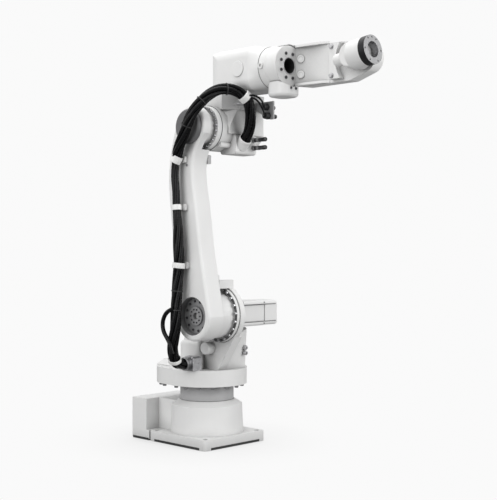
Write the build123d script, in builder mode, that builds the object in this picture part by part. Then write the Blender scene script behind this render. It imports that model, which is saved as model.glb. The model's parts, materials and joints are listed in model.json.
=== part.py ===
from build123d import *
import math
import os

# Six-axis industrial robot arm on a square base plate.
# Millimetres. Origin on the floor on axis 1, +X to the front, +Z up.
# The arm stands in its photographed pose.

os.makedirs("parts", exist_ok=True)

# Fits between parts
RUN = 0.3            # running gap between bodies that turn on each other

# Base
PLATE_SIDE = 350.0
PLATE_TOP = 44.0
FOOT_H = 6.0         # relief under the plate between its corner pads
FOOT_SIDE = 88.0
PLATE_HOLE_R = 11.0
PLATE_HOLE_INSET = 25.0
CENTRE_PAD_R = 62.0  # pad under axis 1
DRUM_R = 150.0       # pedestal drum at its top
DRUM_DRAFT = 6.0     # the drum is this much larger in radius at the plate
DRUM_TOP = 162.0
SHOULDER_TOP = 182.0
GEAR1_R = 114.0
GEAR1_TOP = 249.0
DUCT_HALF = 105.0
DUCT_END = -193.0
BOX_END = -294.0
BOX_TOP = 176.0
SOCKET_SIDE = 70.0
SOCKET_OUT = 16.0

# Turret
DISC_R = 170.0
DISC_TOP = 318.0
COL_REAR = -95.0
COL_FRONT = 136.0
COL_FAR = 93.0
COL_SHOULDER = 488.0
LOBE_END = -200.0
LOBE_HALF = 110.0
LOBE_TOP = 346.0
LOBE_SLOPE = 24.0

# Axis 2
A2_X = 150.0
A2_Z = 550.0
RING2_R = 115.0
RING2_Y = -78.0
RING2_T = 14.0
BELL_R = 121.0
COL_NEAR = RING2_Y + RING2_T   # near face of the column, where the ring seats
BELL_BACK = 20.0
BELL_BACK_R = 62.0
MOTOR2_W = 106.0
MOTOR2_END = 226.0
MOTOR2_CAP = 78.0
MOTOR2_RIB = 15.0
MOTOR2_FLUTE = 5.0
STOP_X = 96.0
STOP_Z = 408.0
STOP_R = 26.0
STOP_OUT = 40.0
COVER1_X = 0.0
COVER1_W = 120.0
COVER1_OUT = 44.0
COVER1_H = 118.0
GLAND_X = 62.0
GLAND_W = 60.0
GLAND_Y0 = -166.0
GLAND_Y1 = -116.0
GLAND_H = 58.0
BRACKET_X = 36.0     # centre of the stop bracket in front of axis 2
BRACKET_W = 32.0
BRACKET_NEAR = -120.0
BRACKET_FAR = -40.0
BRACKET_H = 23.0     # above the bell
HORN_W = 14.0
HORN_T = 8.0
HORN_H = 20.0
RUBBER_W = 28.0
RUBBER_L = 26.0
RUBBER_T = 11.0

# Lower arm
ARM_LEN = 765.0
ARM_OUT = -222.0     # outer face of the arm
ARM_IN = -143.0      # inner face of the arm
HUB2_R = 96.0
RECESS_R = 77.6
RECESS_D = 34.0
HEAD_R = 86.0
HEAD_IN = -186.0     # inner face of the head, thinner than the arm
HEAD_CLEAR = 7.0     # round the elbow's ring
NECK3_R = 70.0
A3_X = 137.0
TAB_X = 150.0
TAB_Z = 1186.0
TAB_W = 20.0
TAB_L = 37.0
TAB_OUT = 17.0
A3_Z = A2_Z + ARM_LEN

# Points of the arm's rear and front edges: distance behind or in front of axis 2,
# and height as a share of the arm's length
ARM_REAR = [(113.0, 0.322), (142.0, 0.614), (147.0, 0.753), (130.0, 0.902)]
ARM_FRONT = [(0.0, 0.784), (17.0, 0.612), (48.0, 0.350), (77.0, 0.160)]

# Axis 3 and the elbow
RING3_R = 90.0
RING3_OUT = -150.0   # outer face of the ring
RING3_T = 23.0
COVER3_R = 70.0
COVER3_OUT = 20.0
DRUM3_R = 92.0       # housing round axis 3
ELBOW_FAR = 105.0
CASE_REAR = 60.0     # case between the drum and the forearm
CASE_FRONT = 236.0
CASE_NEAR = -98.0
CASE_FAR = 103.0
CASE_LOW = 1290.0
FACET_LOW = 1312.0   # lowest point of the case's near front facet
FACET_X = 40.0
FACET_Y = 48.0
PAD_LOW = 1389.0     # pad under the forearm, which overhangs the case
PAD_REAR = 100.0
PAD_FRONT = 240.0
PAD_NEAR = -106.0
PAD_CUT_X = 39.0
PAD_CUT_Y = 66.0
ENTRY_LOW = 1209.0   # lower front block where the cables go in
ENTRY_TOP = 1292.0
ENTRY_FRONT = 240.0
ENTRY_REAR = 150.0
ENTRY_NEAR = -64.0
ENTRY_FAR = 55.0
COLLAR_R = 27.0
COLLAR_L = 30.0
BOSS_X = 200.0
BOSS_Z = 1247.0
BOSS_R = 13.0
BOSS_NEAR = -120.0
FITTING_Y = 38.0
FITTING_Z = 1254.0
FITTING_PITCH = 33.0
FITTING_R = 8.5
FITTING_L = 70.0
PLATE3_Y = 57.0      # near face of the connector plate
PLATE3_T = 6.0
PLATE3_END = 337.0
PLATE3_TOP = 1426.0
PLATE3_LOW = 1352.0
PLUG_R = 13.0
PLUG_L = 24.0
STUB_R = 9.0
STUB_L = 36.0
PLUG_PLACES = [(300.0, 1404.0), (309.0, 1367.0)]
MOTOR3_W = 92.0
MOTOR3_OUT = 44.0

# Forearm
A4_Z = 1546.0
BARREL_HALF = 92.0   # half the housing's width
BARREL_HIGH = 90.0   # half its height
BARREL_CORNER = 46.0
BARREL_REAR = 88.0
REAR_ROUND = 78.0    # rounding of its rear end
BARREL_FRONT = 335.0
BARREL_END = 386.0   # the front narrows to a round collar
COLLAR4_R = 86.0
CAP_X = 280.0
CAP_R = 32.0
CAP_T = 4.0
ROLL_R = 84.0
ROLL_END_R = 80.0
ROLL_STEP = 418.0
ROLL_END = 476.0
ROLL_BORE_R = 31.0
ROLL_BORE_L = 90.0
BELLY_DROP = 122.0   # bottom of the belly below axis 4
BELLY_GAP = 6.0
BELLY_END = 498.0
BELLY_W = 110.0
BELLY_H = 70.0

# Wrist
YOKE_START = 412.0
YOKE_TIP_R = 57.0
YOKE_IN = 60.0       # inner face of the one-sided wrist arm
YOKE_OUT = 124.0
YOKE_ROOT_IN = 36.0  # the inner face starts here at the end face and sweeps out
YOKE_THROAT = 124.0
YOKE_ROUND = 16.0
YOKE_TOP = 86.0      # above axis 4 at the end face
YOKE_LOW = 79.0
A5_X = 800.0
A5_TILT = 7.0        # the wrist is bent up by this much in the pose
BLOCK5_REAR = 652.0
BLOCK5_H = 138.0
BLOCK5_T = 26.0
SWEEP5_R = 116.0     # space that the tool flange sweeps round axis 5
HUB5_R = 46.0
HUB5_OUT = -34.0
BEND_R = 54.0
DRIVE_R = 25.0
DRIVE_BACK = 88.0
FLANGE_X = 94.0      # tool face from axis 5
FLANGE_R = 55.0
FLANGE_T = 9.0
FLANGE_NECK = 20.0
FLANGE_BORE_R = 31.0
FLANGE_PCD = 94.0
FLANGE_HOLE_R = 3.4
FLANGE_HOLE_DEEP = 12.0

# Cables
CABLE_D = 20.0
CABLE_PITCH = 20.3   # between the cables of the bundle
END_GAP = 0.5        # from a bundle's end to the part that holds it
LEAD_D = 8.0
SPARE_D = 17.0
CLAMP_PLACES = [(109.5, 755.0), (98.0, 990.0), (94.0, 1183.0)]
CLAMP_W = 58.0
CLAMP_L = 26.0
CLAMP3_W = 52.0
CLAMP3_H = 48.0

# Points of the cable routes, chosen along the photographed lines
lower_loop = [
    (62, -180, 350),
    (66, -212, 346),
    (72, -248, 366),
    (80, -266, 408),
    (92, -270, 458),
    (106, -272, 512),
    (108, -270, 566),
    (104, -266, 620),
    (106, -262, 672),
    (108, -258, 724),
]
arm_run = [
    (108, -258, 727),
    (110, -258, 780),
    (108, -257, 836),
    (105, -258, 892),
    (101, -258, 948),
    (96, -258, 1004),
    (91, -257, 1058),
    (87, -258, 1110),
    (88, -258, 1156),
    (98, -258, 1200),
]
upper_loop = [
    (101.5, -259.2, 1211),
    (122, -266, 1234),
    (152, -274, 1268),
    (178, -278, 1310),
    (202, -272, 1356),
    (224, -252, 1398),
    (244, -222, 1432),
    (262, -184, 1455),
    (284, -146, 1460),
    (301.2, -116.4, 1452.6),
    (309.7, -94.8, 1439.5),
]
elbow_run = [
    (318, -70, 1418),
    (318, -66, 1402),
    (312, -52, 1362),
    (300, -40, 1320),
    (280, -32, 1284),
    (253, -28, 1262),
]
spare_loop = [
    (120, -291.5, 596),
    (94, -293.5, 592),
    (62, -294.5, 574),
    (38, -295.5, 542),
    (30, -295.5, 506),
    (40, -294.5, 472),
    (64, -293.5, 446),
    (90, -291.5, 430),
    (108, -289.5, 402),
]
lead_upper = [
    (314, -86, 1432),
    (344, -84, 1435),
    (357, -68, 1433),
    (352, -34, 1424),
    (336, -2, 1410),
    (312, 14, 1404),
    (300, 26, 1404),
    (300, 40, 1404),
]
lead_lower = [
    (315, -78, 1424),
    (350, -76, 1426),
    (361, -58, 1412),
    (352, -26, 1390),
    (336, 2, 1374),
    (318, 18, 1367),
    (309, 28, 1367),
    (309, 40, 1367),
]
third = CABLE_PITCH / 2 * math.sqrt(3)
THREE = [
    (-CABLE_PITCH / 2, -third / 3),
    (CABLE_PITCH / 2, -third / 3),
    (0, third * 2 / 3),
]
run_y = -258.0
clamp_out = ARM_OUT - (run_y + third * 2 / 3 + CABLE_D / 2) - RUN


def xz(y):
    """Plane across Y at this y, drawn in X and Z, with its normal to -Y."""
    return Plane(origin=(0, y, 0), x_dir=(1, 0, 0), z_dir=(0, -1, 0))


def yz(x, z=0.0):
    """Plane across X, drawn in Y and Z, with its normal to +X."""
    return Plane(origin=(x, 0, z), x_dir=(0, 1, 0), z_dir=(1, 0, 0))


def save(piece, name):
    piece.part.label = name
    export_step(piece.part, "parts/" + name + ".step")


def arc_point(cx, cz, r, degrees):
    a = math.radians(degrees)
    return (cx + r * math.cos(a), cz + r * math.sin(a))


# Base plate on four corner pads, bolted at its corners
with BuildPart() as base_plate:
    with BuildSketch(Plane.XY.offset(FOOT_H)):
        RectangleRounded(PLATE_SIDE, PLATE_SIDE, 14)
    extrude(amount=PLATE_TOP - FOOT_H)
    pad_place = (PLATE_SIDE - FOOT_SIDE) / 2
    with BuildSketch():
        with GridLocations(2 * pad_place, 2 * pad_place, 2, 2):
            RectangleRounded(FOOT_SIDE, FOOT_SIDE, 14)
        Circle(CENTRE_PAD_R)
    extrude(amount=FOOT_H)
    hole_pitch = PLATE_SIDE - 2 * PLATE_HOLE_INSET
    with BuildSketch(Plane.XY.offset(PLATE_TOP)):
        with GridLocations(hole_pitch, hole_pitch, 2, 2):
            Circle(PLATE_HOLE_R)
    extrude(amount=-PLATE_TOP, mode=Mode.SUBTRACT)
save(base_plate, "base_plate")

# Pedestal drum with its cable duct to the rear
with BuildPart() as pedestal:
    with BuildSketch(Plane.XZ) as drum_outline:
        with BuildLine():
            Polyline(
                (0, PLATE_TOP),
                (DRUM_R + DRUM_DRAFT, PLATE_TOP),
                (DRUM_R, DRUM_TOP),
                (GEAR1_R + 4, SHOULDER_TOP),
                (0, SHOULDER_TOP),
                (0, PLATE_TOP),
            )
        make_face()
    revolve(axis=Axis.Z)
    with BuildSketch(Plane.XY.offset(PLATE_TOP)):
        with Locations((DUCT_END / 2, 0)):
            Rectangle(-DUCT_END, 2 * DUCT_HALF)
    extrude(amount=BOX_TOP - PLATE_TOP)
save(pedestal, "pedestal")

# Connector box at the rear, wider than the duct, down to the floor pads
with BuildPart() as connector_box:
    with BuildSketch(Plane.XY.offset(FOOT_H)):
        with Locations(((BOX_END - PLATE_SIDE / 2) / 2, 0)):
            Rectangle(-BOX_END - PLATE_SIDE / 2, PLATE_SIDE)
    extrude(amount=PLATE_TOP - FOOT_H)
    with BuildSketch(Plane.XY.offset(PLATE_TOP)):
        with Locations(((BOX_END + DUCT_END) / 2, 0)):
            Rectangle(DUCT_END - BOX_END, PLATE_SIDE)
    extrude(amount=BOX_TOP - PLATE_TOP)
    fillet(connector_box.edges().filter_by(Axis.Z).group_by(Axis.X)[0], 10)
save(connector_box, "connector_box")

# Two flange sockets on the rear face of the box
for side, name in ((1, "power_socket"), (-1, "signal_socket")):
    with BuildPart() as socket:
        socket_z = (BOX_TOP + PLATE_TOP) / 2 + 10
        with BuildSketch(yz(BOX_END)):
            with Locations((side * 60, socket_z)):
                RectangleRounded(SOCKET_SIDE, SOCKET_SIDE, 6)
        extrude(amount=-6)
        with BuildSketch(yz(BOX_END - 6)):
            with Locations((side * 60, socket_z)):
                Circle(SOCKET_SIDE * 0.4)
                Circle(SOCKET_SIDE * 0.33, mode=Mode.SUBTRACT)
        extrude(amount=-SOCKET_OUT)
    save(socket, name)

# Axis 1 reducer body between the pedestal and the turntable
with BuildPart() as axis1_reducer:
    with BuildSketch(Plane.XY.offset(SHOULDER_TOP)):
        Circle(GEAR1_R)
    extrude(amount=GEAR1_TOP - SHOULDER_TOP - RUN)
    chamfer(axis1_reducer.edges().group_by(Axis.Z)[0], 2)
save(axis1_reducer, "axis1_reducer")

# Turntable: a thick disc with a raised lobe to the rear
with BuildPart() as turntable:
    with BuildSketch(Plane.XY.offset(GEAR1_TOP)):
        Circle(DISC_R)
        with Locations((LOBE_END / 2, 0)):
            Rectangle(-LOBE_END, 2 * LOBE_HALF)
    extrude(amount=DISC_TOP - GEAR1_TOP)
    with BuildSketch(Plane.XY.offset(DISC_TOP)):
        with Locations(((LOBE_END + COL_REAR) / 2, 0)):
            Rectangle(COL_REAR - LOBE_END, 2 * LOBE_HALF)
    extrude(amount=LOBE_TOP - DISC_TOP)
    chamfer(turntable.faces().sort_by(Axis.Z)[-1].edges(), LOBE_SLOPE)
save(turntable, "turntable")

# Turret column: leans out to the axis 2 flange on its near side
with BuildPart() as turret_column:
    with BuildSketch(xz(COL_NEAR)) as near_wall:
        with BuildLine():
            Polyline(
                (COL_REAR, DISC_TOP),
                (COL_FRONT, DISC_TOP),
                arc_point(A2_X, A2_Z, BELL_R, -48),
                (A2_X + 20, COL_SHOULDER),
                (COL_REAR + 30, COL_SHOULDER),
                (COL_REAR, DISC_TOP),
            )
        make_face()
    with BuildSketch(xz(COL_FAR)) as far_wall:
        with BuildLine():
            Polyline(
                (COL_REAR, DISC_TOP),
                (COL_FRONT, DISC_TOP),
                (COL_FRONT + 11, COL_SHOULDER - 6),
                (COL_FRONT + 5, COL_SHOULDER),
                (COL_REAR + 30, COL_SHOULDER),
                (COL_REAR, DISC_TOP),
            )
        make_face()
    loft()
    with BuildSketch(xz(RING2_Y + RING2_T)):
        with Locations((A2_X, A2_Z)):
            Circle(BELL_R)
    extrude(amount=-24)
    with BuildSketch(xz(RING2_Y + RING2_T + 24)):
        with Locations((A2_X, A2_Z)):
            Circle(BELL_R)
    with BuildSketch(xz(BELL_BACK)):
        with Locations((A2_X, A2_Z)):
            Circle(BELL_BACK_R)
    loft()
    with BuildSketch(xz(COL_NEAR)):
        with BuildLine():
            Polyline(
                (COL_REAR + 10, DISC_TOP + 60),
                arc_point(A2_X, A2_Z, BELL_R, 130),
                (A2_X, A2_Z),
                arc_point(A2_X, A2_Z, BELL_R, -48),
                (COL_FRONT + 6, DISC_TOP + 10),
                (COL_REAR + 10, DISC_TOP + 60),
            )
        make_face()
    extrude(amount=-46)
save(turret_column, "turret_column")

# Axis 2 reducer ring, bolted to the column
with BuildPart() as axis2_ring:
    with BuildSketch(xz(RING2_Y + RING2_T)):
        with Locations((A2_X, A2_Z)):
            Circle(RING2_R)
    extrude(amount=RING2_T)
    fillet(axis2_ring.edges().group_by(Axis.Y)[0], 4)
save(axis2_ring, "axis2_ring")

# Axis 2 motor behind the bell, with a rib along each corner
with BuildPart() as axis2_motor:
    motor_len = MOTOR2_END - MOTOR2_CAP - BELL_BACK
    with BuildSketch(xz(BELL_BACK)):
        with Locations((A2_X, A2_Z)):
            RectangleRounded(MOTOR2_W, MOTOR2_W, 10)
        with Locations((A2_X, A2_Z)):
            with GridLocations(MOTOR2_W, 0.01, 2, 1):
                Rectangle(2 * MOTOR2_FLUTE, MOTOR2_W - 2 * MOTOR2_RIB, mode=Mode.SUBTRACT)
    extrude(amount=-motor_len)
save(axis2_motor, "axis2_motor")

with BuildPart() as axis2_motor_cap:
    with BuildSketch(xz(MOTOR2_END - MOTOR2_CAP)):
        with Locations((A2_X, A2_Z)):
            RectangleRounded(MOTOR2_W - 2, MOTOR2_W - 2, 12)
    extrude(amount=-MOTOR2_CAP)
    fillet(axis2_motor_cap.edges().group_by(Axis.Y)[-1], 8)
save(axis2_motor_cap, "axis2_motor_cap")

# Axis 1 motor cover under the arm's hub, with its round drive cap
with BuildPart() as axis1_motor_cover:
    with BuildSketch(Plane.XY.offset(DISC_TOP)):
        with Locations((COVER1_X, COL_NEAR - COVER1_OUT / 2)):
            RectangleRounded(COVER1_W, COVER1_OUT, 20)
    extrude(amount=COVER1_H)
    fillet(axis1_motor_cover.edges().group_by(Axis.Z)[-1], 18)
save(axis1_motor_cover, "axis1_motor_cover")

with BuildPart() as arm_stop_block:
    with BuildSketch(xz(COL_NEAR)):
        with Locations((STOP_X, STOP_Z)):
            Circle(STOP_R)
    extrude(amount=STOP_OUT)
    fillet(arm_stop_block.edges().group_by(Axis.Y)[0], 3)
save(arm_stop_block, "arm_stop_block")

# Cable gland block on the turntable, near side
with BuildPart() as gland_block:
    with BuildSketch(Plane.XY.offset(DISC_TOP)):
        with Locations((GLAND_X, (GLAND_Y0 + GLAND_Y1) / 2)):
            Rectangle(GLAND_W, GLAND_Y1 - GLAND_Y0)
    extrude(amount=GLAND_H)
    chamfer(gland_block.edges().group_by(Axis.Z)[-1], 6)
    gland_way = (Vector(*lower_loop[0]) - Vector(*lower_loop[1])).normalized()
    with BuildSketch(Plane(origin=Vector(*lower_loop[0]) + gland_way * END_GAP, z_dir=gland_way)):
        Circle(COLLAR_R)
    extrude(amount=COLLAR_L)
save(gland_block, "gland_block")

# Bracket on top of the bell, out over the arm's hub, with a rubber under its end
with BuildPart() as stop_bracket:
    bracket_top = A2_Z + BELL_R + BRACKET_H
    with BuildSketch(xz(BRACKET_NEAR)):
        with Locations((A2_X + BRACKET_X, (A2_Z + bracket_top) / 2)):
            Rectangle(BRACKET_W, bracket_top - A2_Z)
        with Locations((A2_X, A2_Z)):
            Circle(BELL_R, mode=Mode.SUBTRACT)
    extrude(amount=BRACKET_NEAR - BRACKET_FAR)
    with BuildSketch(xz(BRACKET_NEAR)):
        with Locations((A2_X + BRACKET_X, bracket_top + HORN_H / 2)):
            Rectangle(HORN_W, HORN_H)
    extrude(amount=-HORN_T)
save(stop_bracket, "stop_bracket")

with BuildPart() as stop_rubber:
    with BuildSketch(xz(BRACKET_NEAR + 2)):
        with Locations((A2_X, A2_Z)):
            Circle(BELL_R)
            Circle(BELL_R - RUBBER_T, mode=Mode.SUBTRACT)
        with Locations((A2_X + BRACKET_X, A2_Z + BELL_R)):
            Rectangle(RUBBER_W, 2 * BELL_R, mode=Mode.INTERSECT)
    extrude(amount=-RUBBER_L)
save(stop_rubber, "stop_rubber")


def arm_outline():
    """Side outline of the lower arm, bowed to the rear."""
    hub_low = arc_point(A2_X, A2_Z, HUB2_R + 6, 270)
    hub_front = arc_point(A2_X, A2_Z, HUB2_R + 6, 0)
    hub_rear = arc_point(A2_X, A2_Z, HUB2_R + 6, 180)
    head_rear = arc_point(A3_X, A3_Z, HEAD_R, 170)
    head_top = arc_point(A3_X, A3_Z, HEAD_R, 90)
    head_front = arc_point(A3_X, A3_Z, HEAD_R, -20)
    rear = [(A2_X - out, A2_Z + share * ARM_LEN) for out, share in ARM_REAR]
    front = [(A2_X + out, A2_Z + share * ARM_LEN) for out, share in ARM_FRONT]
    ThreePointArc(hub_front, hub_low, hub_rear)
    Spline(hub_rear, *rear, head_rear)
    ThreePointArc(head_rear, head_top, head_front)
    Spline(head_front, *front, hub_front)


# Lower arm: hub barrel at axis 2, bowed web, thin head at axis 3
with BuildPart() as lower_arm:
    with BuildSketch(xz(ARM_IN)):
        with BuildLine():
            arm_outline()
        make_face()
    extrude(amount=ARM_IN - ARM_OUT)
    fillet(lower_arm.edges().group_by(Axis.Y)[0], 12)
    with BuildSketch(xz(RING2_Y - RUN)):
        with Locations((A2_X, A2_Z)):
            Circle(HUB2_R)
    extrude(amount=RING2_Y - RUN - ARM_IN + 1)
    with BuildSketch(xz(ARM_OUT)):
        with Locations((A2_X, A2_Z)):
            Circle(RECESS_R)
    extrude(amount=-RECESS_D, mode=Mode.SUBTRACT)
    with BuildSketch(xz(HEAD_IN)):
        with Locations((A3_X, A3_Z)):
            Circle(RING3_R + HEAD_CLEAR)
    extrude(amount=HEAD_IN - ARM_IN, mode=Mode.SUBTRACT)
    with BuildSketch(xz(RING3_OUT - RUN)):
        with Locations((A3_X, A3_Z)):
            Circle(NECK3_R)
    extrude(amount=RING3_OUT - RUN - HEAD_IN)
save(lower_arm, "lower_arm")

with BuildPart() as arm_stop_tab:
    with BuildSketch(xz(ARM_IN)):
        with Locations((TAB_X, TAB_Z)):
            Rectangle(TAB_W, TAB_L)
    extrude(amount=-TAB_OUT)
    chamfer(arm_stop_tab.edges().filter_by(Axis.X).group_by(Axis.Y)[-1], 4)
save(arm_stop_tab, "arm_stop_tab")

# Blocks on the arm's outer face that carry the cables
for place, name in zip(CLAMP_PLACES, ("arm_clamp_low", "arm_clamp_mid", "arm_clamp_top")):
    with BuildPart() as clamp:
        with BuildSketch(xz(ARM_OUT)):
            with Locations(place):
                RectangleRounded(CLAMP_W, CLAMP_L, 5)
        extrude(amount=clamp_out)
    save(clamp, name)

# Bolted plate and boss at the bottom of the axis 2 recess
with BuildPart() as axis2_hub_plate:
    with BuildSketch(xz(ARM_OUT + RECESS_D)):
        with Locations((A2_X, A2_Z)):
            Circle(RECESS_R - 6)
            Circle(14, mode=Mode.SUBTRACT)
    extrude(amount=8)
    with BuildSketch(xz(ARM_OUT + RECESS_D - 8)):
        with Locations((A2_X, A2_Z)):
            Circle(38)
            Circle(14, mode=Mode.SUBTRACT)
    extrude(amount=8)
save(axis2_hub_plate, "axis2_hub_plate")

# Domed cover over axis 3 on the arm's outer face
with BuildPart() as axis3_cover:
    with BuildSketch(xz(ARM_OUT)):
        with Locations((A3_X, A3_Z)):
            Circle(COVER3_R)
    extrude(amount=COVER3_OUT)
    fillet(axis3_cover.edges().group_by(Axis.Y)[0], COVER3_OUT / 2)
save(axis3_cover, "axis3_cover")

# Reducer ring of axis 3 on the elbow
with BuildPart() as axis3_ring:
    with BuildSketch(xz(RING3_OUT + RING3_T)):
        with Locations((A3_X, A3_Z)):
            Circle(RING3_R)
    extrude(amount=RING3_T)
    fillet(axis3_ring.edges().group_by(Axis.Y)[0], 2)
save(axis3_ring, "axis3_ring")


# Elbow casting: drum round axis 3, faceted case above it, overhanging pad under
# the forearm and a block at the lower front where the cables go in
elbow_near = RING3_OUT + RING3_T
with BuildPart() as elbow_housing:
    with BuildSketch(Plane.XY.offset(CASE_LOW)):
        with Locations(((CASE_REAR + CASE_FRONT) / 2, (CASE_NEAR + CASE_FAR) / 2)):
            Rectangle(CASE_FRONT - CASE_REAR, CASE_FAR - CASE_NEAR)
    extrude(amount=PAD_LOW - CASE_LOW)
    facet_tip = Vector(CASE_FRONT, CASE_NEAR, FACET_LOW)
    facet_side = Vector(CASE_FRONT - FACET_X, CASE_NEAR, PAD_LOW) - facet_tip
    facet_front = Vector(CASE_FRONT, CASE_NEAR + FACET_Y, PAD_LOW) - facet_tip
    facet = Plane(origin=facet_tip, z_dir=facet_front.cross(facet_side))
    split(bisect_by=facet, keep=Keep.BOTTOM)
    with BuildSketch(xz(elbow_near)):
        with Locations((A3_X, A3_Z)):
            Circle(DRUM3_R)
    extrude(amount=elbow_near - ELBOW_FAR)
    with BuildSketch(Plane.XY.offset(PAD_LOW)):
        with BuildLine():
            Polyline(
                (PAD_REAR, PAD_NEAR),
                (PAD_FRONT - PAD_CUT_X, PAD_NEAR),
                (PAD_FRONT, PAD_NEAR + PAD_CUT_Y),
                (PAD_FRONT, CASE_FAR),
                (PAD_REAR, CASE_FAR),
                (PAD_REAR, PAD_NEAR),
            )
        make_face()
    extrude(amount=A4_Z - BARREL_HIGH - PAD_LOW)
    with BuildSketch(xz(ENTRY_NEAR)):
        with Locations(((ENTRY_REAR + ENTRY_FRONT) / 2, (ENTRY_LOW + ENTRY_TOP) / 2)):
            RectangleRounded(ENTRY_FRONT - ENTRY_REAR, ENTRY_TOP - ENTRY_LOW, 14)
    extrude(amount=ENTRY_NEAR - ENTRY_FAR)
    with BuildSketch(xz(BOSS_NEAR)):
        with Locations((BOSS_X, BOSS_Z)):
            Circle(BOSS_R)
    extrude(amount=BOSS_NEAR - ENTRY_NEAR)
    entry_way = (Vector(*elbow_run[-1]) - Vector(*elbow_run[-2])).normalized()
    with BuildSketch(Plane(origin=Vector(*elbow_run[-1]) + entry_way * END_GAP, z_dir=entry_way)):
        Circle(COLLAR_R)
    extrude(amount=COLLAR_L)
save(elbow_housing, "elbow_housing")

# Two fittings on the front of the entry block
with BuildPart() as elbow_fittings:
    with BuildSketch(yz(ENTRY_FRONT)):
        with Locations((FITTING_Y, FITTING_Z)):
            with GridLocations(0.01, FITTING_PITCH, 1, 2):
                Circle(FITTING_R)
    extrude(amount=FITTING_L)
    chamfer(elbow_fittings.edges().group_by(Axis.X)[-1], 1.5)
save(elbow_fittings, "elbow_fittings")

# Plate on the front of the pad, with two connectors through it
with BuildPart() as connector_plate:
    with BuildSketch(xz(PLATE3_Y)):
        with BuildLine():
            Polyline(
                (PAD_FRONT, PLATE3_TOP),
                (PLATE3_END, PLATE3_TOP),
                (PLATE3_END, PLATE3_LOW),
                (PLATE3_END - 20, PLATE3_LOW),
                (PAD_FRONT, PAD_LOW + 4),
                (PAD_FRONT, PLATE3_TOP),
            )
        make_face()
    extrude(amount=-PLATE3_T)
save(connector_plate, "connector_plate")

with BuildPart() as connectors:
    for place in PLUG_PLACES:
        with BuildSketch(xz(PLATE3_Y)):
            with Locations(place):
                Circle(PLUG_R)
        extrude(amount=PLUG_L)
        with BuildSketch(xz(PLATE3_Y + PLATE3_T)):
            with Locations(place):
                Circle(STUB_R)
        extrude(amount=-STUB_L)
save(connectors, "connectors")

# Clamp that holds the bundle where it turns down into the elbow
clamp_in = (Vector(*upper_loop[-1]) - Vector(*upper_loop[-2])).normalized()
clamp_down = (Vector(*elbow_run[1]) - Vector(*elbow_run[0])).normalized()
with BuildPart() as elbow_clamp:
    in_place = Vector(*upper_loop[-1]) + clamp_in * END_GAP
    down_place = Vector(*elbow_run[0]) - clamp_down * END_GAP
    with BuildSketch(Plane(origin=in_place, x_dir=(1, 0, 0), z_dir=clamp_in)):
        RectangleRounded(CLAMP3_W, CLAMP3_H, 8)
    with BuildSketch(Plane(origin=down_place, x_dir=(1, 0, 0), z_dir=clamp_down)):
        RectangleRounded(CLAMP3_W, CLAMP3_H, 8)
    loft()
    arm_z = upper_loop[-1][2] - 20
    with BuildSketch(Plane.XY.offset(arm_z)):
        with BuildLine():
            Polyline(
                (PAD_FRONT, PAD_NEAR + PAD_CUT_Y),
                (PAD_FRONT - PAD_CUT_X * 0.6, PAD_NEAR + PAD_CUT_Y * 0.4),
                (upper_loop[-1][0] - 10, PAD_NEAR + 18),
                (upper_loop[-1][0] - 10, PAD_NEAR + 48),
                (PAD_FRONT, PAD_NEAR + PAD_CUT_Y),
            )
        make_face()
    extrude(amount=8)
save(elbow_clamp, "elbow_clamp")

# Axis 3 motor in the far side of the elbow
with BuildPart() as axis3_motor:
    with BuildSketch(xz(ELBOW_FAR)):
        with Locations((A3_X, A3_Z)):
            RectangleRounded(MOTOR3_W, MOTOR3_W, 9)
    extrude(amount=-MOTOR3_OUT)
    fillet(axis3_motor.edges().group_by(Axis.Y)[-1], 6)
save(axis3_motor, "axis3_motor")

# Forearm housing: squarish with a rounded rear, narrowing to a round collar
with BuildPart() as forearm_barrel:
    with BuildSketch(yz(BARREL_REAR)):
        with Locations((0, A4_Z)):
            RectangleRounded(2 * BARREL_HALF, 2 * BARREL_HIGH, BARREL_CORNER)
    extrude(amount=BARREL_FRONT - BARREL_REAR)
    half_long = BARREL_FRONT + REAR_ROUND - BARREL_REAR
    with BuildSketch(xz(BARREL_HALF)):
        with Locations((BARREL_REAR + half_long / 2, A4_Z)):
            RectangleRounded(half_long, 2 * BARREL_HIGH, REAR_ROUND)
    extrude(amount=2 * BARREL_HALF, mode=Mode.INTERSECT)
    with BuildSketch(Plane.XY.offset(A4_Z - BARREL_HIGH)):
        with Locations((BARREL_REAR + half_long / 2, 0)):
            RectangleRounded(half_long, 2 * BARREL_HALF, REAR_ROUND)
    extrude(amount=2 * BARREL_HIGH, mode=Mode.INTERSECT)
    with BuildSketch(yz(BARREL_FRONT)):
        with Locations((0, A4_Z)):
            RectangleRounded(2 * BARREL_HALF, 2 * BARREL_HIGH, BARREL_CORNER)
    with BuildSketch(yz(BARREL_END - RUN)):
        with Locations((0, A4_Z)):
            Circle(COLLAR4_R)
    loft()
save(forearm_barrel, "forearm_barrel")

with BuildPart() as barrel_cap:
    with BuildSketch(xz(-BARREL_HALF)):
        with Locations((CAP_X, A4_Z)):
            Circle(CAP_R)
    extrude(amount=CAP_T)
    chamfer(barrel_cap.edges().group_by(Axis.Y)[0], 1.5)
save(barrel_cap, "barrel_cap")

# Rotating front of the forearm, with its hollow end face
with BuildPart() as roll_housing:
    with BuildSketch(Plane.XZ):
        with BuildLine():
            Polyline(
                (BARREL_END, A4_Z),
                (BARREL_END, A4_Z + ROLL_R),
                (ROLL_STEP, A4_Z + ROLL_R),
                (ROLL_STEP + 6, A4_Z + ROLL_END_R),
                (ROLL_END, A4_Z + ROLL_END_R),
                (ROLL_END, A4_Z),
                (BARREL_END, A4_Z),
            )
        make_face()
    revolve(axis=Axis((0, 0, A4_Z), (1, 0, 0)))
    with BuildSketch(yz(ROLL_END)):
        with Locations((0, A4_Z)):
            Circle(ROLL_BORE_R)
    extrude(amount=-ROLL_BORE_L, mode=Mode.SUBTRACT)
save(roll_housing, "roll_housing")

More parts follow.
